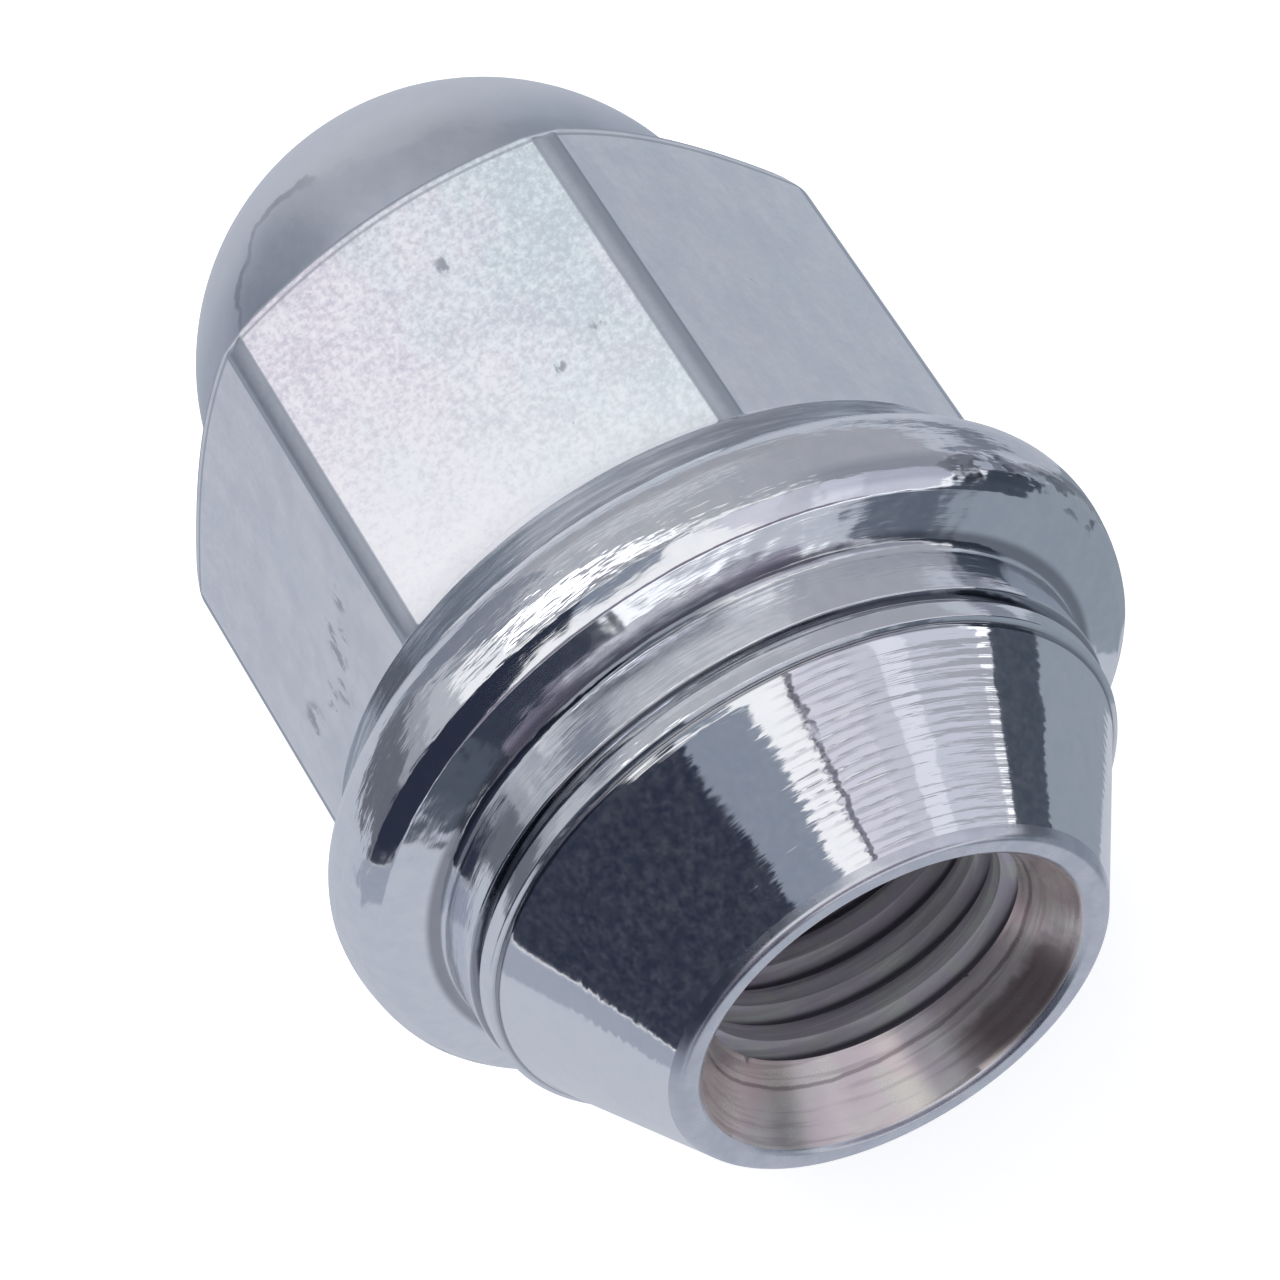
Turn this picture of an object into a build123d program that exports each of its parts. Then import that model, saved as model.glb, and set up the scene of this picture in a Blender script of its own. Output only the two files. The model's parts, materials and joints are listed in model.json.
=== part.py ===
from build123d import *
import os
from math import asin, atan2, cos, degrees, hypot, radians, sin, tan

# One-piece closed wheel nut for an M12 x 1.5 stud, cold forged, turned and plated.
# It is worked out upright about its own axis, from the nose at height 0 to the
# crown of the dome, and is then laid on its side, as such a nut comes to rest:
# on its flange and on the dome's end of one flat.

# Threaded hole, a plain bore at the thread's minor diameter
thread_diameter = 12.0
thread_pitch = 1.5
minor_depth = 1.0825  # pitches between a metric thread's major and minor diameters
bore_depth = 30.0  # full bore, measured from the nose
drill_point_angle = 118.0
countersink_rise = 0.65  # how far the countersink opens beyond the thread
countersink_angle = 60.0

# Rolled lip and conical seat
lip_width = 1.0  # from the countersink's edge to the seat's small end
lip_bevel = 0.3  # the part of that width on either side that is bevelled
lip_inner_height = 0.15
lip_outer_height = 0.35
seat_diameter = 21.56  # large end of the seat
seat_angle = 60.0

# Bead, groove and land behind the seat
bead_rise = 0.3  # how far the bead stands out from the seat
bead_height = 0.85
bead_bevel = 0.12  # height of the slopes on both sides of the bead
groove_depth = 0.3  # below the bead
groove_width = 0.25
land_rise = 0.44  # how far the land stands out from the seat
land_height = 1.9

# Hexagon and dome
across_flats = 21.0
corner_radius = 0.85
flat_end = 28.65  # the flats' end towards the dome, on their middle line
chamfer_angle = 30.0
corner_blend = 1.2  # rounding between the chamfer and the hexagon's corners
dome_inset = 1.02  # the dome's side stands this far inside the flats
dome_height = 9.28
corner_margin = 0.05  # the corner rounding starts this far outside the corners
core_overlap = 0.6  # the hexagon reaches this far into the round core

# Round neck on which the flats run out, and the bulged flange
neck_rise = 0.055  # how far the neck stands out from the hexagon's corners
neck_height = 1.15
runout_angle = 40.0
flange_rise = 1.75  # how far the flange's widest circle stands out from the neck
waist_height = 2.55  # front face, at the land, to the flange's widest circle
front_face_angle = 18.0  # how far the front face leans back
rim_inset = 0.3  # the rim lies this far inside the widest circle
rim_bevel = 0.45  # between the front face and the bulge
belly_radius = 1.6  # section behind the widest circle
back_angle = 28.0  # slope of the flange's back

bore_radius = (thread_diameter - minor_depth * thread_pitch) / 2
mouth_radius = thread_diameter / 2 + countersink_rise
nose_radius = mouth_radius + lip_width
seat_radius = seat_diameter / 2
seat_end = lip_outer_height + (seat_radius - nose_radius) / tan(radians(seat_angle / 2))
bead_end = seat_end + bead_height
groove_end = bead_end + groove_width
land_end = groove_end + land_height
waist_level = land_end + waist_height
flat_radius = across_flats / 2
corner_reach = (flat_radius - corner_radius) / cos(radians(30)) + corner_radius
neck_radius = corner_reach + neck_rise
waist_radius = neck_radius + flange_rise
dome_radius = flat_radius - dome_inset
chamfer_slope = tan(radians(chamfer_angle))
dome_base = flat_end + (flat_radius - dome_radius) * chamfer_slope


def front_section():
    """Half section of the front: lip, seat, bead, groove, land and front face."""
    bead_radius = seat_radius + bead_rise
    groove_radius = bead_radius - groove_depth
    land_radius = seat_radius + land_rise
    face_edge = waist_radius - rim_inset - rim_bevel
    face_rise = (face_edge - land_radius) * tan(radians(front_face_angle))
    return [
        (mouth_radius, lip_inner_height),
        (mouth_radius + lip_bevel, 0),
        (nose_radius - lip_bevel, 0),
        (nose_radius, lip_outer_height),
        (seat_radius, seat_end),
        (bead_radius, seat_end + bead_bevel),
        (bead_radius, bead_end - bead_bevel),
        (groove_radius, bead_end),
        (groove_radius, groove_end),
        (land_radius, groove_end),
        (land_radius, land_end),
        (face_edge, land_end + face_rise),
        (face_edge + rim_bevel, land_end + face_rise + rim_bevel),
    ]


def turned_body():
    """All that is round: bore, lip, seat, land, flange, neck and dome."""
    front = front_section()
    waist = (waist_radius, waist_level)
    back_turn = radians(90 - back_angle)
    back_start = (
        waist_radius - belly_radius * (1 - cos(back_turn)),
        waist_level + belly_radius * sin(back_turn),
    )
    back_rise = (back_start[0] - neck_radius) * tan(radians(back_angle))
    neck_foot = (neck_radius, back_start[1] + back_rise)
    neck_edge = (neck_radius, neck_foot[1] + neck_height)
    runout_rise = (neck_radius - dome_radius) * tan(radians(runout_angle))
    runout_end = (dome_radius, neck_edge[1] + runout_rise)
    dome_foot = (dome_radius, dome_base)
    crown = (0, dome_base + dome_height)
    drill_tip = (0, bore_depth + bore_radius / tan(radians(drill_point_angle / 2)))
    bore_end = (bore_radius, bore_depth)
    countersink_depth = (mouth_radius - bore_radius) / tan(radians(countersink_angle / 2))
    bore_start = (bore_radius, lip_inner_height + countersink_depth)

    with BuildPart() as body:
        with BuildSketch(Plane.XZ):
            with BuildLine():
                Polyline(*front)
                TangentArc(waist, front[-1], tangent=(0, -1))
                JernArc(waist, (0, 1), belly_radius, 90 - back_angle)
                Polyline(back_start, neck_foot, neck_edge, runout_end, dome_foot)
                TangentArc(crown, dome_foot, tangent=(1, 0))
                Polyline(crown, drill_tip, bore_end, bore_start, front[0])
            make_face()
        revolve(axis=Axis.Z)
    return body.part


def hexagon_ring():
    """The six flats, with rounded corners chamfered towards the dome, as a ring."""
    foot = waist_level + belly_radius
    inner_radius = dome_radius - core_overlap
    outer_radius = corner_reach + corner_margin
    chamfer_foot = flat_end - (outer_radius - flat_radius) * chamfer_slope
    chamfer_top = flat_end + (flat_radius - inner_radius) * chamfer_slope
    with BuildPart() as ring:
        with BuildSketch(Plane.XY.offset(foot)) as outline:
            RegularPolygon(flat_radius, 6, major_radius=False, rotation=30)
            fillet(outline.vertices(), corner_radius)
        extrude(amount=chamfer_top - foot)
        with BuildSketch(Plane.XZ) as wrap:
            with BuildLine():
                Polyline(
                    (inner_radius, foot),
                    (outer_radius, foot),
                    (outer_radius, chamfer_foot),
                    (inner_radius, chamfer_top),
                    close=True,
                )
            make_face()
            blended = (outer_radius, chamfer_foot, 0)
            fillet(wrap.vertices().sort_by_distance(blended)[0], corner_blend)
        revolve(axis=Axis.Z, mode=Mode.INTERSECT)
    return ring.part


def lying(upright):
    """Lay the nut down: the flange and one flat's end touch the ground."""
    belly_centre = (waist_radius - belly_radius, waist_level)
    rise = belly_centre[0] - flat_radius
    run = flat_end - belly_centre[1]
    tilt = atan2(rise, run) + asin(belly_radius / hypot(rise, run))
    print("tilt of the axis, degrees:", round(degrees(tilt), 2))
    bed = Plane(
        origin=(0, 0, 0),
        x_dir=(0, sin(tilt), cos(tilt)),
        z_dir=(0, cos(tilt), -sin(tilt)),
    )
    laid = bed.location * upright
    box = laid.bounding_box()
    return Pos(-box.center().X, -box.center().Y, -box.min.Z) * laid


lug_nut = lying(turned_body() + hexagon_ring())
lug_nut.label = "lug_nut"
print("length of the nut:", round(dome_base + dome_height, 2))
print("across the hexagon's corners:", round(2 * corner_reach, 2))

os.makedirs("parts", exist_ok=True)
export_step(lug_nut, "parts/lug_nut.step")
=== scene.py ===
import json
import math

import bmesh
import bpy
from mathutils import Matrix, Vector, noise


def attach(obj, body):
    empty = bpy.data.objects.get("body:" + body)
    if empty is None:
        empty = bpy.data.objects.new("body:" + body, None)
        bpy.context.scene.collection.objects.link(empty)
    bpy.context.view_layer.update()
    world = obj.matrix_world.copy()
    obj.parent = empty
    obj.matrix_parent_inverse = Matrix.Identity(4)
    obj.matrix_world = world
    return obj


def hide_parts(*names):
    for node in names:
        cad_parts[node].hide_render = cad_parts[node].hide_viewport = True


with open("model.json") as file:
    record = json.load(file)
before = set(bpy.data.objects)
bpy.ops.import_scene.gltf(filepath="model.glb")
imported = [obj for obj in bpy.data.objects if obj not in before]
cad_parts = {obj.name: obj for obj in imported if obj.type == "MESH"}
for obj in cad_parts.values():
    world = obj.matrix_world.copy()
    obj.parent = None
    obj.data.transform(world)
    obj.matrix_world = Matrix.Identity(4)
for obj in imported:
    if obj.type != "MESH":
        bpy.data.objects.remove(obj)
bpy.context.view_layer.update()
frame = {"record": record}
scene = bpy.context.scene
millimetre = 0.001

# The nut's own sizes in millimetres. Heights run along its axis, from the nose to the dome.
nut = {
    "threadRadius": 6.0,
    "threadPitch": 1.5,
    "threadInset": 0.54127,  # from the nominal radius to the crests, in pitches
    "threadDepth": 0.62,
    "threadRoot": 0.10,
    "threadAngle": 60,
    "threadPhase": 0.3,  # how far the first turn is moved towards the nose, in pitches
    "threadFrom": 1.2,
    "threadEnd": 26.5,
    "threadFade": 1.2,  # over this length it fades out
    "boreDepth": 30.0,
    "drillAngle": 118,
    "mouthRadius": 6.65,
    "countersinkAngle": 60,
    "noseRadius": 7.65,
    "lipInner": 0.15,
    "lipOuter": 0.35,
    "lipCorners": (0.22, 0.2),  # the lip's two upper corners, from its inner and outer edge
    "lipRounding": (0.25, 0.35),
    "seatRadius": 10.78,
    "seatAngle": 60,
    "beadRise": 0.3,
    "beadHeight": 0.85,
    "beadRounding": (0.05, 0.09),
    "grooveDepth": 0.3,
    "grooveWidth": 0.25,
    "grooveRounding": 0.05,
    "landRise": 0.44,
    "landHeight": 1.9,
    "landRounding": (0.08, 0.4),
    "flatRadius": 10.5,
    "cornerRadius": 0.85,
    "flatEnd": 28.65,
    "chamferAngle": 30,
    "cornerBlend": 1.2,
    "cornerMargin": 0.05,
    "domeInset": 1.02,
    "domeHeight": 9.28,
    "neckRise": 0.055,
    "neckHeight": 1.15,
    "neckRounding": 0.5,
    "runoutAngle": 40,
    "flangeRise": 1.75,
    "waistHeight": 2.55,
    "frontFaceAngle": 18,
    "rimInset": 0.3,
    "rimBevel": 0.45,
    "rimRounding": 0.3,
    "bellyRadius": 1.6,
    "backAngle": 28,
    "edgeRounding": 0.1,
    "waveSize": 2.6,
    "waveDepth": 0.07,
    "waveFade": 0.6,
    "waveEnd": 0.2,  # the waves stop this far before the neck
    "cornerSteps": 8,
    "flatSteps": 32,
    "sharpAngle": 38,
}
joined = 0.0005  # corners closer than this are one


def slope(angle):
    return math.tan(math.radians(angle))


# What follows from those sizes
boreRadius = nut["threadRadius"] - nut["threadInset"] * nut["threadPitch"]
drillTip = nut["boreDepth"] + boreRadius / slope(nut["drillAngle"] / 2)
countersinkSlope = slope(nut["countersinkAngle"] / 2)
seatEnd = nut["lipOuter"] + (nut["seatRadius"] - nut["noseRadius"]) / slope(nut["seatAngle"] / 2)
beadEnd = seatEnd + nut["beadHeight"]
landStart = beadEnd + nut["grooveWidth"]
landEnd = landStart + nut["landHeight"]
landRadius = nut["seatRadius"] + nut["landRise"]
waistLevel = landEnd + nut["waistHeight"]
cornerCentre = (nut["flatRadius"] - nut["cornerRadius"]) / math.cos(math.radians(30))
cornerReach = cornerCentre + nut["cornerRadius"]
cornerTurn = math.degrees(math.atan2(
    nut["cornerRadius"] * math.sin(math.radians(30)),
    cornerCentre + nut["cornerRadius"] * math.cos(math.radians(30))))
neckRadius = cornerReach + nut["neckRise"]
waistRadius = neckRadius + nut["flangeRise"]
domeRadius = nut["flatRadius"] - nut["domeInset"]
domeBase = nut["flatEnd"] + nut["domeInset"] * slope(nut["chamferAngle"])
backTurn = math.radians(90 - nut["backAngle"])
backRadius = waistRadius - nut["bellyRadius"] * (1 - math.cos(backTurn))
backLevel = waistLevel + nut["bellyRadius"] * math.sin(backTurn)
neckFoot = backLevel + (backRadius - neckRadius) * slope(nut["backAngle"])
neckEdge = neckFoot + nut["neckHeight"]
wrapRadius = cornerReach + nut["cornerMargin"]
blendReach = nut["cornerBlend"] * slope(45 - nut["chamferAngle"] / 2)
blendStart = wrapRadius - blendReach * math.cos(math.radians(nut["chamferAngle"]))


def chamferLevel(radius):
    # height of the turned chamfer at a distance from the axis, with its blend at the corners
    if radius <= blendStart:
        return nut["flatEnd"] - (radius - nut["flatRadius"]) * slope(nut["chamferAngle"])
    corner = nut["flatEnd"] - (wrapRadius - nut["flatRadius"]) * slope(nut["chamferAngle"])
    blend = nut["cornerBlend"]
    return corner - blendReach + math.sqrt(max(blend ** 2 - (radius - wrapRadius + blend) ** 2, 0))


def runoutLevel(radius):
    # height of the cone on which the flats run out above the neck
    return neckEdge + (neckRadius - radius) * slope(nut["runoutAngle"])


def hexagonRadius(angle):
    # distance from the axis to the hexagon with rounded corners, a flat's middle at 0 degrees
    fromFlat = abs((angle + 30) % 60 - 30)
    fromCorner = 30 - fromFlat
    if fromCorner >= cornerTurn:
        return nut["flatRadius"] / math.cos(math.radians(fromFlat))
    aside = cornerCentre * math.sin(math.radians(fromCorner))
    outwards = cornerCentre * math.cos(math.radians(fromCorner))
    return outwards + math.sqrt(nut["cornerRadius"] ** 2 - aside ** 2)


def countersinkRadius(height):
    return nut["mouthRadius"] - (height - nut["lipInner"]) * countersinkSlope


def roundedLine(corners, steps=5):
    # a line in the half section through corners (radius, height, rounding)
    line = []
    for index, (radius, height, rounding) in enumerate(corners):
        here = Vector((radius, height))
        if rounding == 0:
            line.append(here)
            continue
        before = (Vector(corners[index - 1][:2]) - here).normalized()
        after = (Vector(corners[index + 1][:2]) - here).normalized()
        half = before.angle(after) / 2
        centre = here + (before + after).normalized() * rounding / math.sin(half)
        start = here + before * rounding / math.tan(half) - centre
        end = here + after * rounding / math.tan(half) - centre
        line += [centre + start.lerp(end, step / steps).normalized() * rounding
                 for step in range(steps + 1)]
    return line


def arc(centre, radius, start, end, steps):
    # an arc in the half section, its angles in degrees from outwards towards the dome
    turns = [math.radians(start + (end - start) * step / steps) for step in range(steps + 1)]
    return [Vector((centre[0] + radius * math.cos(a), centre[1] + radius * math.sin(a)))
            for a in turns]


def straight(start, end, steps):
    return [Vector(start).lerp(Vector(end), step / steps) for step in range(steps + 1)]


def frontLine():
    # the half section from the mouth over the lip, the seat and the land to the flange's rim
    # beside the rounded corners, small steps keep the seat's and the bead's edges crisp
    mouth, nose, foot = nut["mouthRadius"], nut["noseRadius"], nut["seatRadius"]
    (inner, outer), (innerRound, outerRound) = nut["lipCorners"], nut["lipRounding"]
    lipLine = roundedLine([
        (mouth, nut["lipInner"], 0),
        (mouth + inner, 0, innerRound),
        (nose - outer, 0, outerRound),
        (nose + 0.02, nut["lipOuter"] + 0.03, 0)])
    inset = 0.05  # from the lip to the seat's first corner
    seatStart = (nose + inset, nut["lipOuter"] + inset / slope(nut["seatAngle"] / 2))
    seatLine = straight(seatStart, (foot, seatEnd), 14)
    bead = foot + nut["beadRise"]
    groove = bead - nut["grooveDepth"]
    faceEdge, faceLevel, rimRadius, rimLevel = rimPlace()
    (beadFront, beadBack), grooveRound = nut["beadRounding"], nut["grooveRounding"]
    landFront, landBack = nut["landRounding"]
    landLine = roundedLine([
        (foot + 0.05, seatEnd + 0.03, 0),
        (foot - 0.02, seatEnd + 0.09, 0.03),
        (bead - 0.03, seatEnd + 0.14, beadFront),
        (bead, beadEnd - 0.1, beadBack),
        (groove, beadEnd, grooveRound),
        (groove, landStart, grooveRound),
        (landRadius, landStart + 0.05, landFront),
        (landRadius, landEnd, landBack),
        (faceEdge, faceLevel, nut["rimRounding"]),
        (rimRadius, rimLevel, 0)])
    return lipLine + seatLine + landLine


def rimPlace():
    # where the flange's front face and its bevel end, each a radius and a height
    faceEdge = waistRadius - nut["rimInset"] - nut["rimBevel"]
    faceLevel = landEnd + (faceEdge - landRadius) * slope(nut["frontFaceAngle"])
    return faceEdge, faceLevel, faceEdge + nut["rimBevel"], faceLevel + nut["rimBevel"]


def flangeLine():
    # the half section of the flange's bulge, its back and the neck
    rise, inset = waistLevel - rimPlace()[3], nut["rimInset"]
    bulge = (rise ** 2 + inset ** 2) / 2 / inset
    bulgeTurn = math.degrees(math.asin(rise / bulge))
    front = arc((waistRadius - bulge, waistLevel), bulge, -bulgeTurn, 0, 10)[1:]
    belly = arc((waistRadius - nut["bellyRadius"], waistLevel), nut["bellyRadius"],
                0, 90 - nut["backAngle"], 16)[1:]
    neck = roundedLine([
        (backRadius, backLevel, 0),
        (neckRadius, neckFoot, nut["neckRounding"]),
        (neckRadius, neckEdge, 0)])[1:]
    return front + belly + neck


def domeLine():
    # the half section of the flats' run-out, the hexagon's corners, the chamfer and the dome
    footCorner, chamferCorner = runoutLevel(cornerReach), chamferLevel(cornerReach)
    runout = straight((neckRadius, neckEdge), (cornerReach, footCorner), 4)[1:]
    flats = straight((cornerReach, footCorner), (cornerReach, chamferCorner), 14)[1:]
    chamfer = straight((cornerReach, chamferCorner), (domeRadius, domeBase), 7)[1:]
    sphere = (domeRadius ** 2 + nut["domeHeight"] ** 2) / 2 / nut["domeHeight"]
    centre = domeBase + nut["domeHeight"] - sphere
    start = math.degrees(math.asin((domeBase - centre) / sphere))
    return runout + flats + chamfer + arc((0, centre), sphere, start, 90, 36)[1:]


def threadLine():
    # the thread's section over the whole bore, one helical turn longer than it shows
    pitch, depth, root = nut["threadPitch"], nut["threadDepth"], nut["threadRoot"]
    flank = depth * slope(nut["threadAngle"] / 2)
    crest = pitch - 2 * flank - root
    edge, over = 0.05, 0.02  # the crest's edges are a little broken
    section = [
        (0, 0), (crest * 0.33, 0), (crest * 0.66, 0), (crest - edge, 0), (crest + over, edge),
        (crest + flank * 0.5, depth * 0.5), (crest + flank, depth), (crest + flank + root, depth),
        (crest + flank * 1.5 + root, depth * 0.5), (pitch - over, edge)]
    turns = math.ceil(nut["boreDepth"] / pitch) + 1
    return [Vector((boreRadius + rise, (count - 1 - nut["threadPhase"]) * pitch + onward))
            for count in range(turns) for onward, rise in section]


def addLine(mesh, line):
    corners = [mesh.verts.new((point.x, 0, point.y)) for point in line]
    edges = [mesh.edges.new(pair) for pair in zip(corners, corners[1:])]
    return corners + edges


def spinRound(mesh, line, pitch):
    # spins a line once round the axis, in finer steps at the hexagon's corners
    ends = addLine(mesh, line)
    first = math.radians(30 - cornerTurn)
    bmesh.ops.rotate(mesh, verts=mesh.verts[:], cent=(0, 0, 0),
                     matrix=Matrix.Rotation(first, 3, "Z"))
    parts = ((2 * cornerTurn, nut["cornerSteps"]), (60 - 2 * cornerTurn, nut["flatSteps"]))
    for turn, steps in parts * 6:
        ends = bmesh.ops.spin(
            mesh, geom=ends, cent=(0, 0, 0), axis=(0, 0, 1), angle=math.radians(turn),
            dvec=(0, 0, pitch * turn / 360 / steps), steps=steps, use_merge=False)["geom_last"]
    bmesh.ops.remove_doubles(mesh, verts=mesh.verts[:], dist=joined)


def turnAngle(vert):
    return math.degrees(math.atan2(vert.co.y, vert.co.x))


def shapeHexagon(mesh):
    # draws the turned blank in to the six flats, their run-out and their chamfer
    foot, top = runoutLevel(cornerReach), chamferLevel(cornerReach)
    small = 0.0001
    for vert in mesh.verts:
        radius, height = math.hypot(vert.co.x, vert.co.y), vert.co.z
        if radius < domeRadius - small or height < neckEdge - small or height > domeBase + small:
            continue
        hexagon = hexagonRadius(turnAngle(vert))
        if height < foot - small:
            part = (neckRadius - radius) / (neckRadius - cornerReach)
            newRadius = neckRadius + (hexagon - neckRadius) * part
            newHeight = runoutLevel(newRadius)
        elif height > top + small:
            part = (radius - domeRadius) / (cornerReach - domeRadius)
            newRadius = domeRadius + (hexagon - domeRadius) * part
            newHeight = chamferLevel(newRadius)
        else:
            part = (height - foot) / (top - foot)
            newRadius = hexagon
            newHeight = runoutLevel(hexagon) * (1 - part) + chamferLevel(hexagon) * part
        vert.co.x *= newRadius / radius
        vert.co.y *= newRadius / radius
        vert.co.z = newHeight


def roundFlatEnds(mesh):
    # rounds the edges in which the flats meet the run-out and the chamfer
    def onEdge(vert, level):
        radius = math.hypot(vert.co.x, vert.co.y)
        return abs(radius - hexagonRadius(turnAngle(vert))) < joined \
            and abs(vert.co.z - level(radius)) < joined
    for level in (runoutLevel, chamferLevel):
        edges = [edge for edge in mesh.edges if all(onEdge(vert, level) for vert in edge.verts)]
        bmesh.ops.bevel(mesh, geom=edges, affect="EDGES", offset=nut["edgeRounding"], segments=3,
                        profile=0.5, material=-1)


def forgedWaves(mesh):
    # the flange's bulge isn't quite true: shallow waves from forging and tumbling
    low, high = landEnd + nut["waistHeight"] / 2, neckFoot - nut["waveEnd"]
    for vert in mesh.verts:
        radius = math.hypot(vert.co.x, vert.co.y)
        if radius < landRadius or not low < vert.co.z < high:
            continue
        fade = min((vert.co.z - low) / nut["waveFade"], (high - vert.co.z) / nut["waveFade"], 1)
        wave = 0.5 + noise.noise(vert.co / nut["waveSize"]) / 2
        factor = 1 - nut["waveDepth"] * fade * wave / radius
        vert.co.x *= factor
        vert.co.y *= factor


def meetCountersink(mesh):
    # moves the nearest corner of each edge that crosses the countersink on to it
    moves = {}
    for edge in mesh.edges:
        first, second = edge.verts
        over = [math.hypot(vert.co.x, vert.co.y) - countersinkRadius(vert.co.z)
                for vert in edge.verts]
        if first.co.xy.angle(second.co.xy) > 0.001 or over[0] * over[1] >= 0:
            continue
        share = over[0] / (over[0] - over[1])
        moves[first if share < 0.5 else second] = first.co.lerp(second.co, share)
    for vert, place in moves.items():
        vert.co = place


def cutThread(mesh):
    # trims the thread to the countersink, fades it in and out and ends it level in the bore
    meetCountersink(mesh)
    start, end, fade = nut["threadFrom"], nut["threadEnd"], nut["threadFade"]
    for vert in mesh.verts:
        radius = math.hypot(vert.co.x, vert.co.y)
        height = min(max(vert.co.z, nut["lipInner"]), end + fade)
        depth = (radius - boreRadius) * min(max((end - height) / fade + 1, 0), 1)
        depth *= min(max((height - start) / fade * 2, 0), 1)
        newRadius = max(boreRadius + depth, countersinkRadius(height))
        vert.co = (vert.co.x * newRadius / radius, vert.co.y * newRadius / radius, height)


def makeNut():
    mesh = bmesh.new()
    spinRound(mesh, threadLine(), nut["threadPitch"])
    cutThread(mesh)
    shell = bmesh.new()
    spinRound(shell, frontLine() + flangeLine() + domeLine(), 0)
    shapeHexagon(shell)
    roundFlatEnds(shell)
    forgedWaves(shell)
    end = bmesh.new()
    start = (boreRadius, nut["threadEnd"] + nut["threadFade"])
    bottom = (boreRadius, nut["boreDepth"])
    spinRound(end, straight(start, bottom, 3) + straight(bottom, (0, drillTip), 4)[1:], 0)
    for piece in (shell, end):
        copied = bpy.data.meshes.new("copied")
        piece.to_mesh(copied)
        mesh.from_mesh(copied)
        bpy.data.meshes.remove(copied)
        piece.free()
    bmesh.ops.remove_doubles(mesh, verts=mesh.verts[:], dist=joined)
    bmesh.ops.dissolve_degenerate(mesh, edges=mesh.edges[:], dist=0.0001)
    bmesh.ops.recalc_face_normals(mesh, faces=mesh.faces[:])
    return mesh


def placement():
    # the nut's own frame in the world: the thread's mount gives its axis and place
    mount = next(m for m in frame["record"]["mounts"] if m["name"] == "stud_thread")
    outwards = Vector(mount["axis"])
    reach = nut["boreDepth"] - mount["dims"]["length_mm"] / 2
    nose = Vector(mount["pos_m"]) + outwards * reach * millimetre
    onward = -outwards
    across = Vector((1, 0, 0))
    topFlat = across.cross(onward)
    return nose, Matrix((topFlat, across, onward)).transposed()


noseTip, nutTurn = placement()
print("axis of the nut:", tuple(round(v, 4) for v in nutTurn.col[2]))


class Signal:
    # an output socket, on which Python's operators add Math nodes
    def __init__(self, shader, socket):
        self.shader = shader
        self.socket = socket

    def maths(self, operation, *values):
        return self.shader.node("ShaderNodeMath", {"operation": operation}, dict(enumerate(values)))

    def __add__(self, other):
        return self.maths("ADD", self, other)

    def __sub__(self, other):
        return self.maths("SUBTRACT", self, other)

    def __rsub__(self, other):
        return self.maths("SUBTRACT", other, self)

    def __mul__(self, other):
        return self.maths("MULTIPLY", self, other)

    def __abs__(self):
        return self.maths("ABSOLUTE", self)

    __radd__ = __add__
    __rmul__ = __mul__


class Shader:
    def __init__(self, owner):
        owner.use_nodes = True
        self.tree = owner.node_tree
        self.tree.nodes.clear()

    def node(self, kind, settings=None, inputs=None, output=0):
        made = self.tree.nodes.new(kind)
        for key, value in (settings or {}).items():
            setattr(made, key, value)
        for key, value in (inputs or {}).items():
            if isinstance(value, Signal):
                self.tree.links.new(value.socket, made.inputs[key])
            else:
                made.inputs[key].default_value = value
        return Signal(self, made.outputs[output]) if made.outputs else None

    def smooth(self, value, low, high):
        # 0 at low, 1 at high, with a soft step between them
        return self.node("ShaderNodeMapRange", {"interpolation_type": "SMOOTHSTEP"},
                         {"Value": value, "From Min": low, "From Max": high})

    def band(self, value, rise, fall):
        # 1 between two soft steps, up over the first pair and down over the second
        return self.smooth(value, *rise) * self.smooth(value, *fall)

    def ring(self, height, level, width):
        # 1 on a ring at one height, falling to 0 at half its width on both sides
        return self.smooth(abs(height - level), width / 2, width / 5)

    def mix(self, factor, first, second):
        first, second = (colour if isinstance(colour, Signal) else (*colour, 1)
                         for colour in (first, second))
        return self.node("ShaderNodeMix", {"data_type": "RGBA"},
                         {0: factor, 6: first, 7: second}, output=2)

    def bump(self, height, strength, distance, normal=None):
        inputs = {"Height": height, "Strength": strength, "Distance": distance}
        if normal:
            inputs["Normal"] = normal
        return self.node("ShaderNodeBump", None, inputs)


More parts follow.
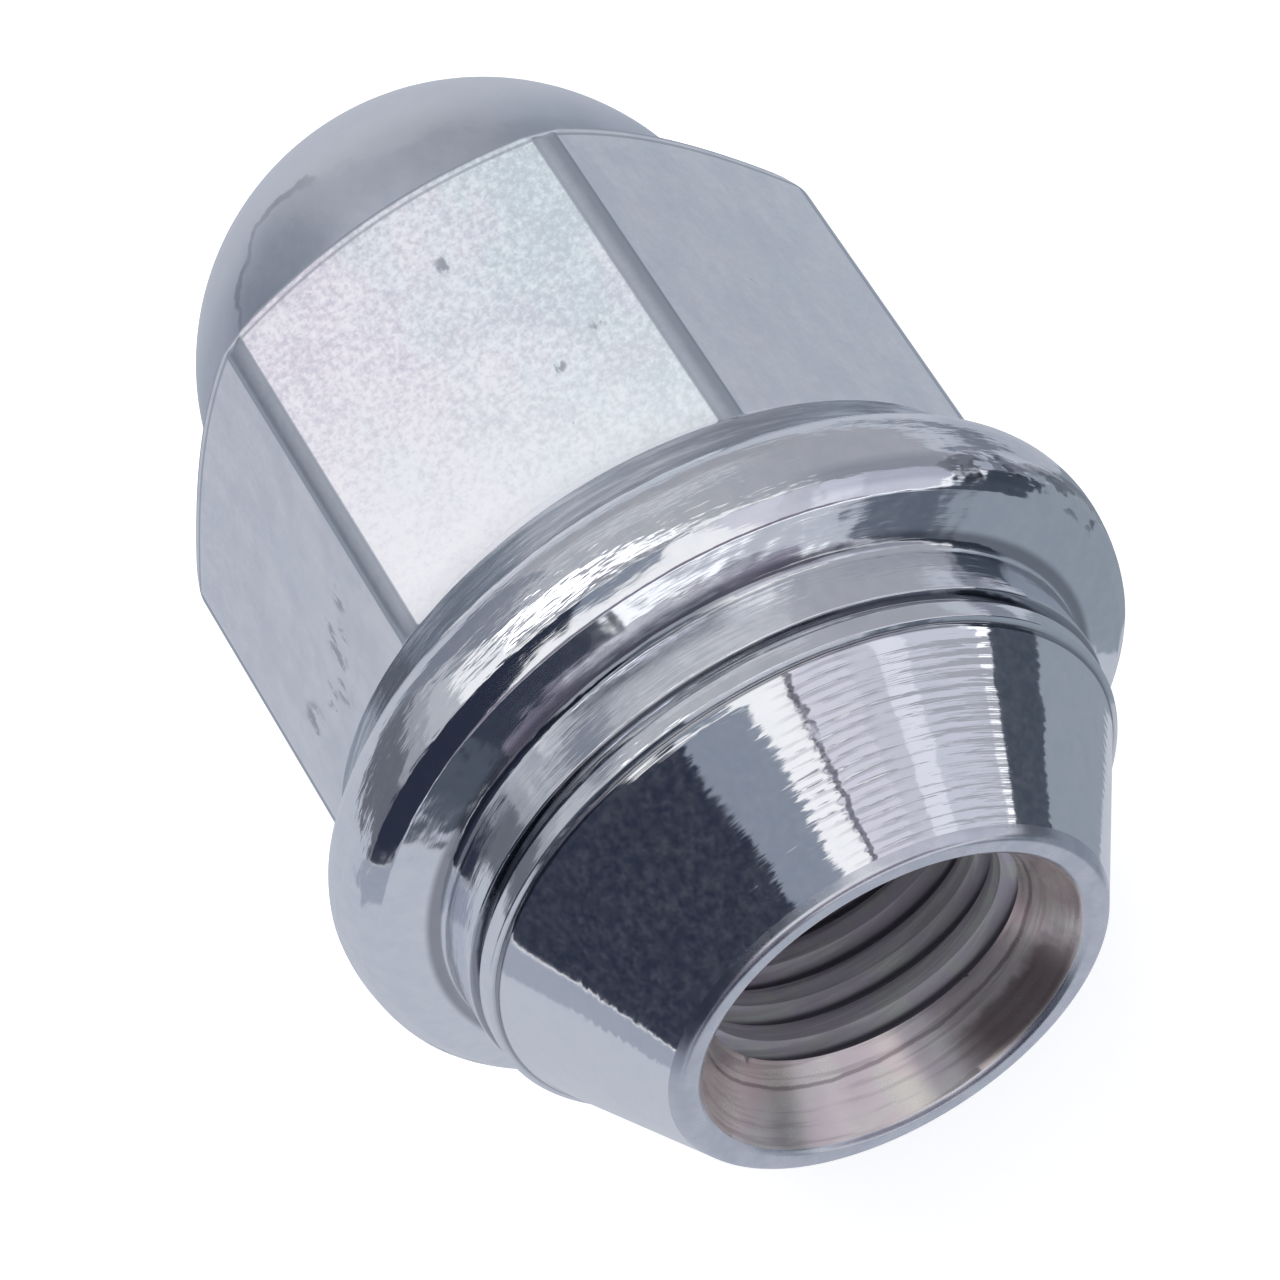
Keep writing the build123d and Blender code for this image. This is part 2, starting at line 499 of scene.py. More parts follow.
class Finish(Shader):
    # a metal finish of the nut, in millimetres in the nut's own frame
    def __init__(self, name, grains):
        self.material = bpy.data.materials.new(name)
        super().__init__(self.material)
        world = self.node("ShaderNodeTexCoord", None, None, output=3)
        self.place = self.node("ShaderNodeMapping", {"vector_type": "TEXTURE"}, {
            "Vector": world, "Location": noseTip, "Rotation": nutTurn.to_euler(),
            "Scale": (millimetre,) * 3})
        self.grains = {key: self.grain(*values) for key, values in grains.items()}

    def part(self, index):
        # 0 upwards out of the top flat, 1 sideways along it, 2 the height along the axis
        return self.node("ShaderNodeSeparateXYZ", None, {0: self.place}, output=index)

    def stretched(self, across, onward):
        # scales the place across and along the axis: noise on it turns into rings or streaks
        return self.node("ShaderNodeMapping", {"vector_type": "POINT"},
                         {"Vector": self.place, "Scale": (across, across, onward)})

    def radius(self):
        return self.node("ShaderNodeVectorMath", {"operation": "LENGTH"},
                         {0: self.stretched(1, 0)}, output=1)

    def turn(self):
        # the turn round the axis, 0 at the middle of the top flat
        upward = self.part(0)
        return upward.maths("ARCTAN2", self.part(1), upward)

    def awayFrom(self, centre):
        return self.node("ShaderNodeVectorMath", {"operation": "DISTANCE"},
                         {0: self.place, 1: centre}, output=1)

    def grain(self, scale, detail, roughness, across=1, onward=1):
        place = self.place if across == onward == 1 else self.stretched(across, onward)
        return self.node("ShaderNodeTexNoise", {"noise_dimensions": "3D"}, {
            "Vector": place, "Scale": scale, "Detail": detail, "Roughness": roughness})

    def over(self, colour, where, layer):
        # lays a layer, a colour and its strength, over another colour
        return self.mix(where * layer[1], colour, layer[0])

    def metal(self, colour, roughness, normal, metallic=1.0):
        shader = self.node("ShaderNodeBsdfPrincipled", None, {
            "Base Color": colour, "Metallic": metallic, "Roughness": roughness, "Normal": normal})
        self.node("ShaderNodeOutputMaterial", None, {"Surface": shader})
        return self.material


# In the finishes' dictionaries a layer is a colour with its strength, and a grain is a noise's
# scale, detail and roughness, with how much it is squeezed across and along the axis.

# The frosted plating of the hexagon and the dome
plating = {
    "grains": {
        "speck": (8.0, 2.0, 0.5),
        "fine": (3.8, 3.0, 0.62),
        "pits": (1.4, 3.0, 0.6),
        "soft": (1.0, 4.0, 0.6, 0.9, 0.35),
        "patch": (0.55, 3.0, 0.6),
        "cloud": (0.22, 2.0, 0.5),
        "scratches": (1.0, 4.0, 0.65, 1.9, 0.8),
    },
    "lightLilac": (0.98, 0.95, 0.99),
    "lightBlue": (0.86, 0.93, 0.96),
    "dullLilac": (0.74, 0.70, 0.79),
    "dullBlue": (0.64, 0.71, 0.75),
    # painted light: the top flat is lighter towards the flange
    "paintedFlangeLight": ((0.99, 0.99, 1.0), 0.7),
    "sideDark": (0.84, 0.87, 0.92),
    "sideLight": (0.92, 0.93, 0.96),
    "sideStrength": 0.75,
    "sidePatch": ((0.70, 0.69, 0.78), 0.30),
    # painted shade: the dome is darker at its shoulder than at its crown
    "shadedShoulder": (0.48, 0.52, 0.59),
    "crown": (0.74, 0.76, 0.80),
    "domeStrength": 0.85,
    # painted shade of the faint step across the dome
    "foldShade": ((0.42, 0.45, 0.52), 0.35),
    "foldShadeLine": ((0.22, 0.24, 0.30), 0.5),
    # painted shade of the rounded corners and of the flats' ends
    "corner": ((0.46, 0.50, 0.56), 0.85),
    "cornerShadeLine": ((0.34, 0.37, 0.43), 0.5),
    "endShadeLine": ((0.30, 0.33, 0.39), 0.6),
    "worn": (0.25, 0.27, 0.31),
    "wornStrength": (0.45, 0.70),  # on the other faces and on the top flat
    "topFlat": (10.2, 10.45),  # how far out of the axis the top flat's finish and its painted glints fade in
    "cornerEdge": (11.86, 11.90, 11.96),  # radii of the rounded corners' edges
    "roughness": 0.38,
    "bumpHeight": 0.02,
    # small marks and dents: a place in the nut's own frame and a radius
    "marks": [
        ((10.5, 1.15, 25.4), 0.55),
        ((10.5, 4.07, 20.1), 0.40),
        ((10.5, 2.40, 19.6), 0.32),
        ((8.09, -4.67, 30.85), 0.45),
        ((8.2, -7.4, 18.7), 0.7),
        ((6.7, -8.3, 18.4), 1.2),
        ((5.6, -8.9, 17.6), 1.1),
        ((4.4, -9.6, 18.2), 0.9),
        ((2.7, -10.6, 19.0), 1.1),
    ],
}


def frostedPlating():
    finish = Finish("frostedPlating", plating["grains"])
    smooth, mix, over, grain = finish.smooth, finish.mix, finish.over, finish.grains
    radius = finish.radius()
    upward, sideways, height = (finish.part(index) for index in range(3))
    # where the top flat, the hexagon's rounded corners, the flats' end and the dome are
    top = smooth(upward, *plating["topFlat"])
    cornerStart, cornerFull, cornerEnd = plating["cornerEdge"]
    corner = smooth(radius, cornerStart, cornerFull)
    cornerShadeLine = corner * smooth(radius, cornerEnd, cornerFull)
    dome = smooth(height, domeBase + 0.5, domeBase + 4.5)
    ending = height + (radius - nut["flatRadius"]) * slope(nut["chamferAngle"]) - nut["flatEnd"]
    chamfer = smooth(ending, -0.12, -0.02)
    endShadeLine = (finish.ring(ending, -0.07, 0.16) + finish.ring(ending, -0.34, 0.17) * 0.9) \
        * smooth(radius, 10.0, 10.3) * (1 - corner)
    # the top flat is mottled in lilac and blue, its own grain made stronger there as painted
    # glints, which the other faces don't get; towards the flange it is painted lighter and calmer,
    # painted light from the flange
    paintedFlangeLight = smooth(height + sideways * 0.5, 24.0, 12.0)
    rightEnd = smooth(sideways, 2.0, 5.0)
    mottleAndGlints = grain["fine"] * 0.6 + grain["speck"] * 0.25 + grain["patch"] * 0.25 \
        + paintedFlangeLight * 0.06 - rightEnd * 0.03
    tone = smooth(mottleAndGlints, 0.40, 0.68)
    hue = smooth(grain["cloud"] * 0.7 + grain["soft"] * 0.5 + sideways * 0.04, 0.40, 0.90)
    light = mix(hue, plating["lightLilac"], plating["lightBlue"])
    dull = mix(hue, plating["dullLilac"], plating["dullBlue"])
    side = mix(smooth(grain["soft"], 0.35, 0.65), plating["sideDark"], plating["sideLight"])
    colour = over(mix(tone, dull, light), paintedFlangeLight, plating["paintedFlangeLight"])
    colour = over(colour, 1 - top, (side, plating["sideStrength"]))
    # painted shade: the dome is darker at its shoulder, lighter towards its crown
    domeColour = mix(dome, plating["shadedShoulder"], plating["crown"])
    colour = over(colour, chamfer, (domeColour, plating["domeStrength"]))
    # the forging left a faint step across the dome's upper side; the shape lacks it, so its shade
    # is painted: darker below the step, with a dark line along it
    foldLevel = sideways.maths("MINIMUM", 32.2 - sideways * 0.27, sideways * 1.3 + 37.7)
    step = height + grain["patch"] * 2.0 - 1.0 - foldLevel
    stepSide = smooth(upward, 3.0, 5.5) * chamfer
    foldShadeLine = smooth(sideways + grain["patch"] * 4, 2.5, -1.5) * finish.ring(step, 0, 0.5)
    colour = over(colour, stepSide * smooth(step, 0.35, -0.35), plating["foldShade"])
    colour = over(colour, stepSide * foldShadeLine, plating["foldShadeLine"])
    colour = over(colour, (1 - top) * smooth(grain["patch"], 0.40, 0.66), plating["sidePatch"])
    # painted shade: the rounded corners are darker, with dark lines at their edges, and two dark
    # lines run along the flats' ends
    colour = over(colour, corner, plating["corner"])
    colour = over(colour, cornerShadeLine, plating["cornerShadeLine"])
    colour = over(colour, endShadeLine, plating["endShadeLine"])
    # pits all over, and scratches within the small marks
    worn = smooth(grain["pits"], 0.275, 0.215)
    scratches = smooth(grain["scratches"], 0.48, 0.60)
    for centre, size in plating["marks"]:
        worn = worn + smooth(finish.awayFrom(centre), size, size * 0.3) * scratches
    worn = smooth(worn, 0.0, 1.0)
    elsewhere, onTop = plating["wornStrength"]
    colour = mix(worn * (top * (onTop - elsewhere) + elsewhere), colour, plating["worn"])
    roughness = plating["roughness"] + grain["fine"] * 0.10 + top * 0.06 - corner * 0.10 \
        - chamfer * 0.06 + worn * 0.2
    relief = grain["fine"] * 0.6 + grain["speck"] * 0.4 + grain["soft"] * 0.8 - worn * 0.5
    normal = finish.bump(relief, 0.5, plating["bumpHeight"] * millimetre)
    return finish.metal(colour, roughness, normal)


# The polished flange with the land, the groove and the bead. What lies on one side only has
# a turn round the axis from the top flat, in radians, over which it begins and one over
# which it ends, and heights in the same way.
flange = {
    "grains": {
        "rings": (1.0, 3.0, 0.6, 0.10, 8.0),
        "streaks": (1.0, 4.0, 0.65, 0.25, 5.0),
        "ragged": (1.0, 3.0, 0.6, 0.35, 2.0),
        "burr": (1.0, 2.0, 0.5, 0.7, 1.8),
        "waves": (0.45, 2.0, 0.5),
        "blotch": (1.6, 3.0, 0.6),
    },
    "dark": (0.80, 0.82, 0.87),
    "light": (0.85, 0.86, 0.90),
    "back": ((0.66, 0.69, 0.75), 0.4),
    # painted shade in the neck
    "neck": ((0.42, 0.46, 0.52), 1.0),
    "corners": ((0.10, 0.11, 0.14), 0.6),
    "burr": ((0.12, 0.13, 0.16), 0.7),
    "burrTurn": ((0.80, 0.95), (1.72, 1.5)),
    "rimShade": (0.44, 0.47, 0.54),
    "rimShadeTurn": ((0.42, 0.62), (1.25, 1.05)),
    "rimShadeHeight": ((9.50, 9.70), (10.5, 10.1)),
    "landShade": (0.24, 0.26, 0.31),
    "landShadeTurn": ((0.30, 0.17), (-0.50, -0.25)),
    "landShadeHeight": ((landEnd - 1.1, landEnd - 0.3), (landEnd + 0.3, landEnd + 0.05)),
    "bulgeShade": (0.46, 0.49, 0.56),
    "bulgeShadeTurn": (0.95, 1.05),
    "bulgeShadeHeight": ((10.3, 10.7), (12.6, 12.1)),
    "rimLine": ((0.13, 0.15, 0.19), 0.75),
    "rimLineTurn": ((1.05, 1.25), (2.1, 1.8)),
    "roughness": 0.07,
    "waveHeight": 0.14,
    "raggedHeight": 0.09,
    "streakHeight": 0.022,
}


def polishedFlange():
    finish = Finish("polishedFlange", flange["grains"])
    smooth, mix, over, grain = finish.smooth, finish.mix, finish.over, finish.grains
    band, ring = finish.band, finish.ring
    height, turn = finish.part(2), finish.turn()
    blotch, streaks, ragged = grain["blotch"], grain["streaks"], grain["ragged"]
    bulge = smooth(height, landEnd + 0.8, landEnd + 1.2)
    back = smooth(height, waistLevel + 0.6, waistLevel + 1.6)
    neck = smooth(height, neckFoot - 0.45, neckFoot - 0.05)
    colour = mix(smooth(blotch, 0.3, 0.7), flange["dark"], flange["light"])
    colour = over(colour, back, flange["back"])
    # painted shade in the neck, where the flange meets the hexagon, broken into streaks
    colour = over(colour, neck * smooth(streaks, 0.25, 0.6), flange["neck"])
    # dirt and shade in the corners of the turned steps
    corners = ring(height, landEnd + 0.05, 0.30) + ring(height, landStart, 0.16) \
        + ring(height, beadEnd, 0.12) + ring(height, seatEnd + 0.05, 0.16)
    colour = over(colour, corners, flange["corners"])
    # painted shade on a stretch of the rim, and dirt and painted shade on a stretch of the land
    rimShade = band(height, *flange["rimShadeHeight"]) * band(turn, *flange["rimShadeTurn"])
    landShade = band(height, *flange["landShadeHeight"]) * band(turn, *flange["landShadeTurn"])
    colour = mix(rimShade * (0.3 + streaks * 0.5), colour, flange["rimShade"])
    colour = mix(landShade * (0.5 + streaks * 0.6), colour, flange["landShade"])
    # a burr that the forging die left on part of the rim
    burr = band(turn, *flange["burrTurn"]) * ring(height, 10.0, 1.3)
    colour = over(colour, burr * smooth(grain["burr"], 0.46, 0.40), flange["burr"])
    # the bulge is painted darker there as painted shade, and a dark line runs along the rim
    bulgeShade = smooth(turn + ragged * 0.1, *flange["bulgeShadeTurn"]) \
        * band(height, *flange["bulgeShadeHeight"])
    rimLine = ring(height - turn * 1.6 + blotch * 0.3, 8.52, 0.42) \
        * band(turn, *flange["rimLineTurn"])
    colour = mix(bulgeShade * (0.25 + streaks * 0.4), colour, flange["bulgeShade"])
    colour = over(colour, rimLine, flange["rimLine"])
    roughness = flange["roughness"] + blotch * 0.07 + back * 0.05 + neck * 0.08
    relief = grain["waves"] + burr * grain["burr"] * 1.5
    normal = finish.bump(relief, 0.5, flange["waveHeight"] * millimetre)
    relief = ragged * (bulge * 0.65 + 0.35)
    normal = finish.bump(relief, 0.6, flange["raggedHeight"] * millimetre, normal)
    relief = streaks * 0.6 + grain["rings"] * 0.4
    normal = finish.bump(relief, 0.6, flange["streakHeight"] * millimetre, normal)
    return finish.metal(colour, roughness, normal)


# The turned seat
seat = {
    "grains": {
        "rings": (1.0, 3.0, 0.65, 0.12, 6.0),
        "teeth": (1.0, 2.0, 0.55, 0.8, 3.4),
        "wander": (0.25, 2.0, 0.5),
        "waves": (0.3, 2.0, 0.5),
        "blotch": (1.2, 3.0, 0.6),
        "dust": (3.0, 4.0, 0.75),
    },
    "dark": (0.84, 0.86, 0.90),
    "light": (0.88, 0.88, 0.93),
    # dirt and painted shade at the seat's end
    "end": ((0.12, 0.13, 0.16), 0.8),
    # painted shade of the ridges
    "ridges": ((0.36, 0.36, 0.42), 0.42),
    "raggedLine": ((0.18, 0.18, 0.22), 0.85),
    "raggedLineTurn": 0.313,  # where the ridges begin, round the axis from the top flat in radians
    "ridgeStart": (0.31, 0.41),
    "ridgeEnd": (0.80, 0.60),
    "ridgeRate": 21.0,  # ridges 0.3 mm apart
    "roughness": 0.045,
    "dustStrength": 0.06,
    "waveHeight": 0.06,
    "ridgeHeight": 0.030,
}


def turnedSeat():
    finish = Finish("turnedSeat", seat["grains"])
    smooth, over, ring, grain = finish.smooth, finish.over, finish.ring, finish.grains
    height, turn = finish.part(2), finish.turn()
    teeth, wander, blotch = grain["teeth"], grain["wander"], grain["blotch"]
    # ridges of the turning tool, deepest where it chattered
    ridge = height.maths("SINE", height * seat["ridgeRate"] + wander * 9.0)
    ridged = smooth(turn + wander * 0.3, *seat["ridgeStart"]) \
        * smooth(turn + wander * 0.5, *seat["ridgeEnd"])
    ridgeShadeLine = smooth(ridge + teeth * 2.4, 1.5, 2.3) * ridged
    colour = finish.mix(smooth(blotch, 0.3, 0.7), seat["dark"], seat["light"])
    # dirt and painted shade in the corner at the seat's end
    colour = over(colour, ring(height, seatEnd + 0.02, 0.2), seat["end"])
    # painted shade: the ridges' lines are darker
    colour = over(colour, ridgeShadeLine, seat["ridges"])
    # where the ridges begin, a ragged dark line
    raggedLine = ring(turn + teeth * 0.06, seat["raggedLineTurn"], 0.030) * smooth(blotch, 0.20, 0.50)
    colour = over(colour, raggedLine, seat["raggedLine"])
    chatter = smooth(grain["waves"], 0.38, 0.60) * 0.8 + 0.2
    turned = grain["rings"] * 0.6 + ridge * (chatter * 0.16 + ridged * 0.22) \
        + teeth * chatter * 0.8
    normal = finish.bump(grain["waves"], 0.4, seat["waveHeight"] * millimetre)
    normal = finish.bump(turned, 0.6, seat["ridgeHeight"] * millimetre, normal)
    metallic = 1 - smooth(grain["dust"], 0.34, 0.74) * seat["dustStrength"]
    return finish.metal(colour, seat["roughness"] + blotch * 0.04, normal, metallic)


# The rolled lip round the mouth
lip = {
    "grains": {
        "rings": (1.0, 3.0, 0.6, 0.2, 6.0),
        "blotch": (1.1, 3.0, 0.6),
    },
    "dark": (0.62, 0.64, 0.70),
    "light": (0.72, 0.73, 0.79),
    "roughness": 0.20,
    "bumpHeight": 0.02,
}


def rolledLip():
    finish = Finish("rolledLip", lip["grains"])
    blotch = finish.grains["blotch"]
    colour = finish.mix(finish.smooth(blotch, 0.3, 0.7), lip["dark"], lip["light"])
    normal = finish.bump(finish.grains["rings"], 0.4, lip["bumpHeight"] * millimetre)
    return finish.metal(colour, lip["roughness"] + blotch * 0.12, normal)


# The bore is barely plated: warm on the countersink, darker and violet in the thread
bore = {
    "grains": {
        "rings": (1.0, 3.0, 0.6, 0.2, 6.0),
        "lines": (1.0, 3.0, 0.6, 0.15, 3.5),
        "blotch": (0.7, 3.0, 0.6),
    },
    "rose": (0.78, 0.68, 0.70),
    "sand": (0.80, 0.77, 0.73),
    "coneLines": ((0.46, 0.40, 0.41), 0.5),
    # a painted dark reflection on the countersink
    "darkReflection": ((0.20, 0.14, 0.14), 0.75),
    "darkReflectionTurn": ((2.25, 2.50), (3.14, 2.85)),
    "darkReflectionRadius": ((6.10, 6.30), (6.78, 6.64)),
    "darkRing": ((0.20, 0.16, 0.18), 0.6),
    "darkRingLevel": 1.95,
    "violet": (0.66, 0.62, 0.72),
    "green": (0.68, 0.71, 0.69),
    "threadLines": ((0.36, 0.34, 0.40), 0.5),
    # painted shade in the thread's root
    "groove": ((0.20, 0.19, 0.23), 1.0),
    "metallic": (0.72, 0.40),  # on the countersink and in the thread
    "roughness": (0.20, 0.42),
    "bumpHeight": 0.02,
}


def boreSteel():
    finish = Finish("boreSteel", bore["grains"])
    smooth, mix, over = finish.smooth, finish.mix, finish.over
    radius, height, turn = finish.radius(), finish.part(2), finish.turn()
    lines, blotch = finish.grains["lines"], finish.grains["blotch"]
    thread = smooth(abs(radius - countersinkRadius(height)), 0.03, 0.06)
    warm = mix(smooth(blotch, 0.35, 0.65), bore["rose"], bore["sand"])
    warm = over(warm, smooth(lines, 0.52, 0.40), bore["coneLines"])
    # a painted dark reflection on the lower side of the countersink, and one dark ring deeper in
    (reflectionFrom, reflectionTo), (reflectionInner, reflectionOuter) = bore["darkReflectionTurn"], bore["darkReflectionRadius"]
    darkReflection = smooth(turn + blotch * 0.5, *reflectionFrom) * smooth(turn, *reflectionTo) \
        * smooth(radius + blotch * 0.5, *reflectionInner) * smooth(radius + lines * 0.3, *reflectionOuter)
    warm = over(warm, darkReflection, bore["darkReflection"])
    darkRing = finish.ring(height + blotch * 0.2, bore["darkRingLevel"], 0.17)
    warm = over(warm, darkRing, bore["darkRing"])
    groove = boreRadius + nut["threadDepth"]
    dark = mix(smooth(blotch, 0.40, 0.62), bore["violet"], bore["green"])
    dark = over(dark, smooth(lines, 0.56, 0.42), bore["threadLines"])
    # painted shade: the thread's root, behind the crests, is dark
    dark = over(dark, smooth(radius, groove - 0.22, groove - 0.06), bore["groove"])
    normal = finish.bump(finish.grains["rings"], 0.4, bore["bumpHeight"] * millimetre)
    roughness, metallic = (onCone + thread * (inThread - onCone)
                           for onCone, inThread in (bore["roughness"], bore["metallic"]))
    return finish.metal(mix(thread, warm, dark), roughness + blotch * 0.12, normal, metallic)


finishes = [frostedPlating, polishedFlange, turnedSeat, rolledLip, boreSteel]


def finishOf(face):
    # which of the nut's finishes a face has, by where it is in the half section
    centre = face.calc_center_median()
    radius, height = math.hypot(centre.x, centre.y), centre.z
    if radius < nut["mouthRadius"] and height < drillTip:
        return boreSteel
    if height < nut["lipOuter"] and radius < nut["noseRadius"]:
        return rolledLip
    if height < seatEnd:
        return turnedSeat
    return polishedFlange if height < neckEdge else frostedPlating


def addNut():
    shape = makeNut()
    for face in shape.faces:
        face.material_index = finishes.index(finishOf(face))
        face.smooth = True
    lay = Matrix.Translation(noseTip) @ nutTurn.to_4x4() @ Matrix.Scale(millimetre, 4)
    bmesh.ops.transform(shape, verts=shape.verts[:], matrix=lay)
    data = bpy.data.meshes.new("lugNutBody")
    shape.to_mesh(data)
    shape.free()
    for make in finishes:
        data.materials.append(make())
    data.set_sharp_from_angle(angle=math.radians(nut["sharpAngle"]))
    piece = bpy.data.objects.new("lugNutBody", data)
    scene.collection.objects.link(piece)
    weighted = piece.modifiers.new("evenShading", "WEIGHTED_NORMAL")
    weighted.keep_sharp = True
    weighted.weight = 100
    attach(piece, "root")
    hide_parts("lug_nut")
    print("nut:", len(data.polygons), "faces")


studio = {
    "floorReach": 0.9,
    "floorColour": (0.92, 0.92, 0.93),
    "floorLift": 0.56,  # what the camera sees on top of the lit floor
    "skyColour": (0.98, 0.99, 1),
    "skyLevel": 0.58,
    "keyMiddle": (0, 0, 0.013),
    "keyDirection": (-0.04, 0.70, 0.71),
    "keyDistance": 0.45,
    "keySize": 0.5,
    "keyPower": 1.58,
}

# Cards round the nut, which only its gloss sees: each stands on the middle of its lower edge,
# in millimetres, turns round it and leans back; a width, a height and a colour follow
cards = {
    "navyWall": ((-150, -119, 2), 90, 0, 222, 300, (0.026, 0.033, 0.056)),
    "navyCeiling": ((-132, -200, 299), -12, 90, 120, 170, (0.026, 0.033, 0.056)),
    "lensCard": ((-17, -205, 300), -12, 90, 124, 170, (0.25, 0.285, 0.345)),
    "rearCeiling": ((-28, 1, 300), -15, 90, 300, 62, (0.31, 0.32, 0.35)),
    "rearSky": ((30, 105, 301), -15, 90, 800, 330, (0.43, 0.44, 0.47)),
    "leftWall": ((-150, 71, 0), 90, 0, 158, 62, (0.15, 0.16, 0.19)),
    "leftWallMiddle": ((-150, 71, 62), 90, 0, 158, 33, (0.36, 0.38, 0.42)),
    "leftWallTop": ((-150, 71, 95), 90, 0, 158, 65, (0.50, 0.52, 0.56)),
    "rearLeftWall": ((-69, 110, 0), 32, 0, 75, 145, (0.22, 0.24, 0.29)),
    "rearWall": ((0, 150, 0), 0, 0, 300, 95, (0.38, 0.39, 0.42)),
    "rearWallMiddle": ((0, 150, 95), 0, 0, 300, 50, (0.46, 0.47, 0.50)),
    "rearWallTop": ((0, 150, 145), 0, 0, 300, 45, (0.58, 0.59, 0.63)),
    "rightWall": ((150, 51, 0), 90, 0, 198, 118, (0.40, 0.41, 0.45)),
    "rightWallTop": ((150, 85, 118), 90, 0, 130, 87, (0.42, 0.43, 0.47)),
    "rightFront": ((150, -37, 118), 90, 0, 24, 190, (0.40, 0.41, 0.45)),
    "darkEdge": ((150, -129, 310), 90, 0, 162, 10, (0.14, 0.14, 0.17)),
    "rightSill": ((40, 20, 0.8), 90, 0, 50, 9, (0.25, 0.27, 0.32)),
    "paleUpper": ((150, -129, 161), 90, 0, 162, 149, (0.70, 0.69, 0.77)),
    "paleMiddle": ((150, -129, 116), 90, 0, 162, 45, (0.61, 0.61, 0.68)),
    "paleBright": ((150, -129, 84), 90, 0, 162, 32, (0.80, 0.80, 0.88)),
    "paleLower": ((150, -129, 13), 90, 0, 162, 71, (0.62, 0.63, 0.71)),
    "darkSill": ((40, -35, 2), 90, 0, 50, 14, (0.060, 0.075, 0.10)),
    "darkFront": ((-13, -58, 0), 0, 0, 20, 24, (0.040, 0.048, 0.072)),
    "darkFrontSide": ((-30, -58, 0), 0, 0, 14, 24, (0.085, 0.10, 0.13)),
    "violetFront": ((0, -220, 26), 0, 0, 320, 120, (0.24, 0.22, 0.28)),
    "darkStreak": ((29, -80, 0.8), 10, 90, 20, 34, (0.12, 0.14, 0.18)),
    "rightGround": ((38, -70, 0.7), 0, 90, 48, 70, (0.29, 0.33, 0.38)),
    "leftGround": ((-105, -150, 0.7), 0, 90, 90, 160, (0.36, 0.39, 0.46)),
    "greyGround": ((0, -150, 0.4), 0, 90, 300, 300, (0.53, 0.56, 0.62)),
}


def addPlane(name, width, height, material):
    shape = bmesh.new()
    bmesh.ops.create_grid(shape, x_segments=1, y_segments=1, size=0.5)
    bmesh.ops.scale(shape, verts=shape.verts[:], vec=(width, height, 1))
    data = bpy.data.meshes.new(name)
    shape.to_mesh(data)
    shape.free()
    data.materials.append(material)
    plane = bpy.data.objects.new(name, data)
    scene.collection.objects.link(plane)
    return plane


def seenRays(shader):
    # 1 for what the camera sees, also by reflection or through something clear
    camera, glossy, clear = (
        shader.node("ShaderNodeLightPath", None, None, output="Is " + name + " Ray")
        for name in ("Camera", "Glossy", "Transmission"))
    return camera.maths("MAXIMUM", camera.maths("MAXIMUM", camera, glossy), clear)


def addFloor():
    material = bpy.data.materials.new("paleFloor")
    shader = Shader(material)
    paper = shader.node("ShaderNodeBsdfDiffuse", None, {"Color": (*studio["floorColour"], 1)})
    lift = shader.node("ShaderNodeEmission", None, {
        "Strength": seenRays(shader) * studio["floorLift"]})
    both = shader.node("ShaderNodeAddShader", None, {0: paper, 1: lift})
    shader.node("ShaderNodeOutputMaterial", None, {"Surface": both})
    addPlane("floor", studio["floorReach"] * 2, studio["floorReach"] * 2, material)
    print("floor:", studio["floorReach"] * 2, "m wide")


def aimAt(thing, position, target, roll=0):
    # -z looks at the target; roll turns the top to the right
    look = (Vector(target) - Vector(position)).normalized()
    turn = look.to_track_quat("-Z", "Y").to_matrix()
    thing.matrix_world = Matrix.Translation(position) @ turn.to_4x4() \
        @ Matrix.Rotation(-math.radians(roll), 4, "Z")


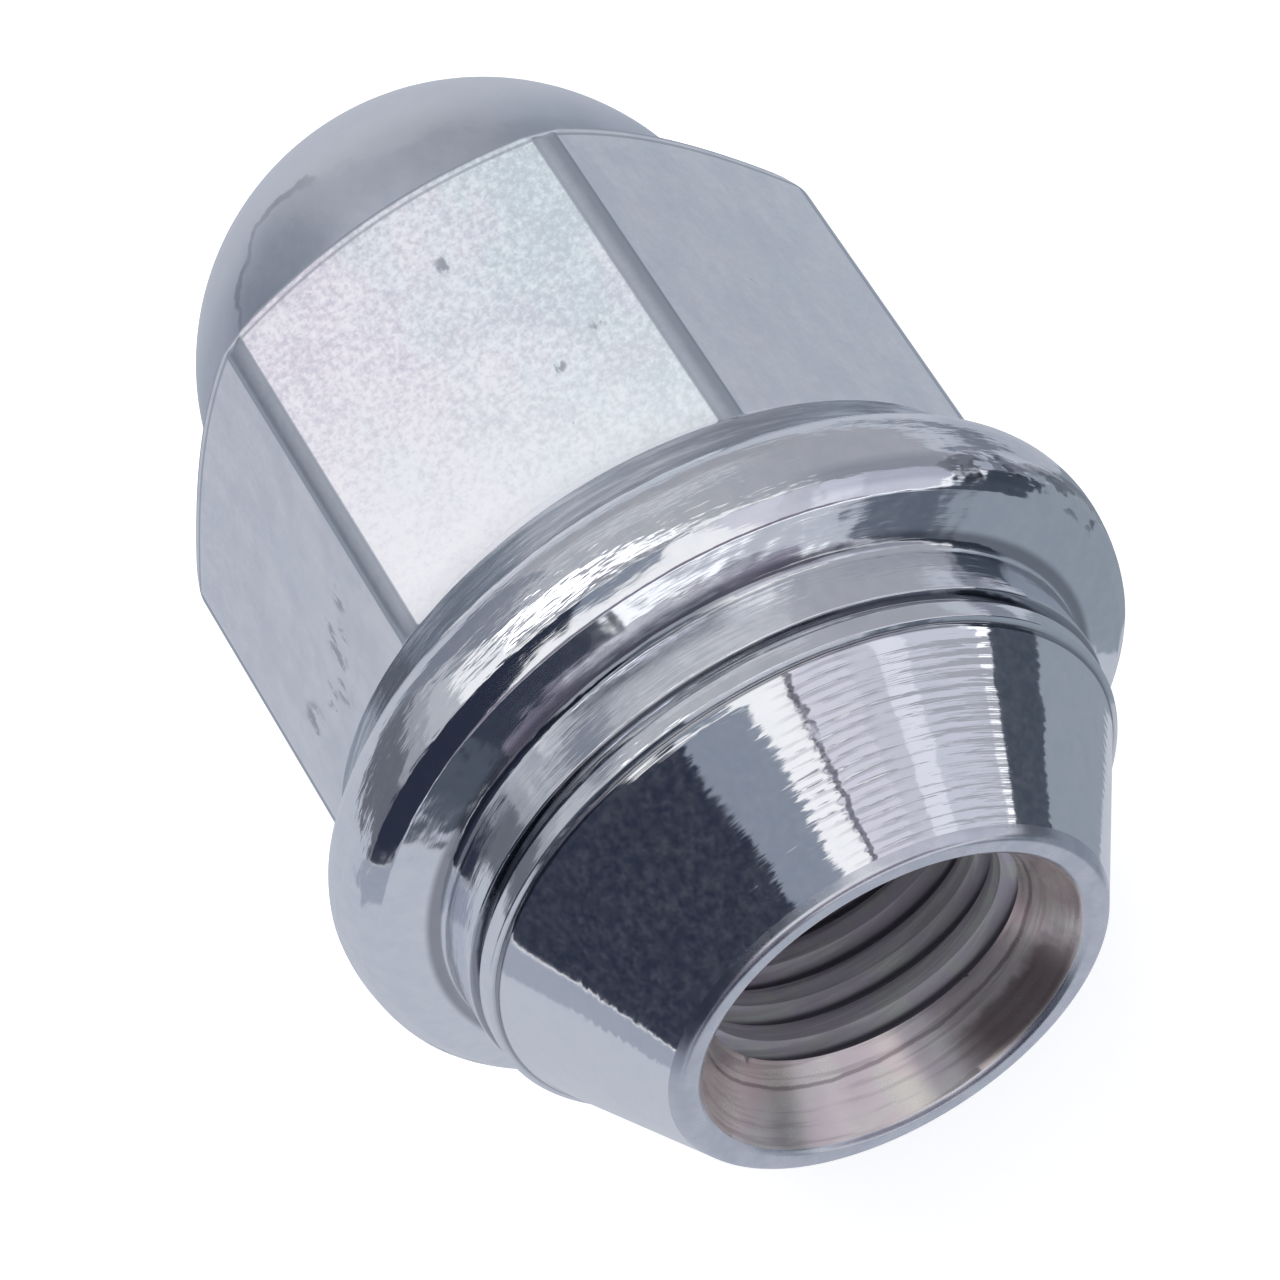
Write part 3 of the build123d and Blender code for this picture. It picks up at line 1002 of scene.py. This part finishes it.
def addCards():
    for name, (foot, turn, lean, width, height, colour) in cards.items():
        material = bpy.data.materials.new(name)
        shader = Shader(material)
        glow = shader.node("ShaderNodeEmission", None, {"Color": (*colour, 1)})
        shader.node("ShaderNodeOutputMaterial", None, {"Surface": glow})
        card = addPlane(name, width * millimetre, height * millimetre, material)
        card.matrix_world = Matrix.Translation(Vector(foot) * millimetre) \
            @ Matrix.Rotation(math.radians(turn), 4, "Z") \
            @ Matrix.Rotation(math.radians(90 - lean), 4, "X") \
            @ Matrix.Translation((0, height / 2 * millimetre, 0))
        card.visible_camera = False
        card.visible_diffuse = False
        card.visible_shadow = False
    print("cards:", len(cards))


def addLight():
    world = bpy.data.worlds.new("softSky")
    scene.world = world
    shader = Shader(world)
    glow = shader.node("ShaderNodeBackground", None, {"Color": (1, 1, 1, 1), "Strength": 1.0})
    dim = shader.node("ShaderNodeBackground", None, {
        "Color": (*studio["skyColour"], 1), "Strength": studio["skyLevel"]})
    both = shader.node("ShaderNodeMixShader", None, {0: seenRays(shader), 1: dim, 2: glow})
    shader.node("ShaderNodeOutputWorld", None, {"Surface": both})
    lamp = bpy.data.lights.new("keyLamp", "AREA")
    lamp.size = studio["keySize"]
    lamp.energy = studio["keyPower"]
    holder = bpy.data.objects.new("keyLamp", lamp)
    scene.collection.objects.link(holder)
    middle = Vector(studio["keyMiddle"])
    away = Vector(studio["keyDirection"]).normalized() * studio["keyDistance"]
    aimAt(holder, middle + away, middle)
    print("light: a soft sky and a key lamp of", lamp.energy, "W")


view = {
    "aim": (-0.00055, -0.00214, 0.01268),
    "distance": 0.2147,
    "azimuth": -5.556,
    "elevation": 67.197,
    "roll": 39.202,
    "lens": 188.66,
}


def addCamera():
    camera = bpy.data.cameras.new("camera")
    camera.lens = view["lens"]
    camera.sensor_width = 36
    camera.clip_start = 0.01
    holder = bpy.data.objects.new("camera", camera)
    scene.collection.objects.link(holder)
    azimuth, elevation = math.radians(view["azimuth"]), math.radians(view["elevation"])
    level = math.cos(elevation)
    away = Vector((-math.sin(azimuth) * level, -math.cos(azimuth) * level, math.sin(elevation)))
    aimAt(holder, Vector(view["aim"]) + away * view["distance"], view["aim"], view["roll"])
    scene.camera = holder
    print("camera:", view["distance"], "m away")


addNut()
addFloor()
addCards()
addLight()
addCamera()
scene.view_settings.view_transform = "Standard"
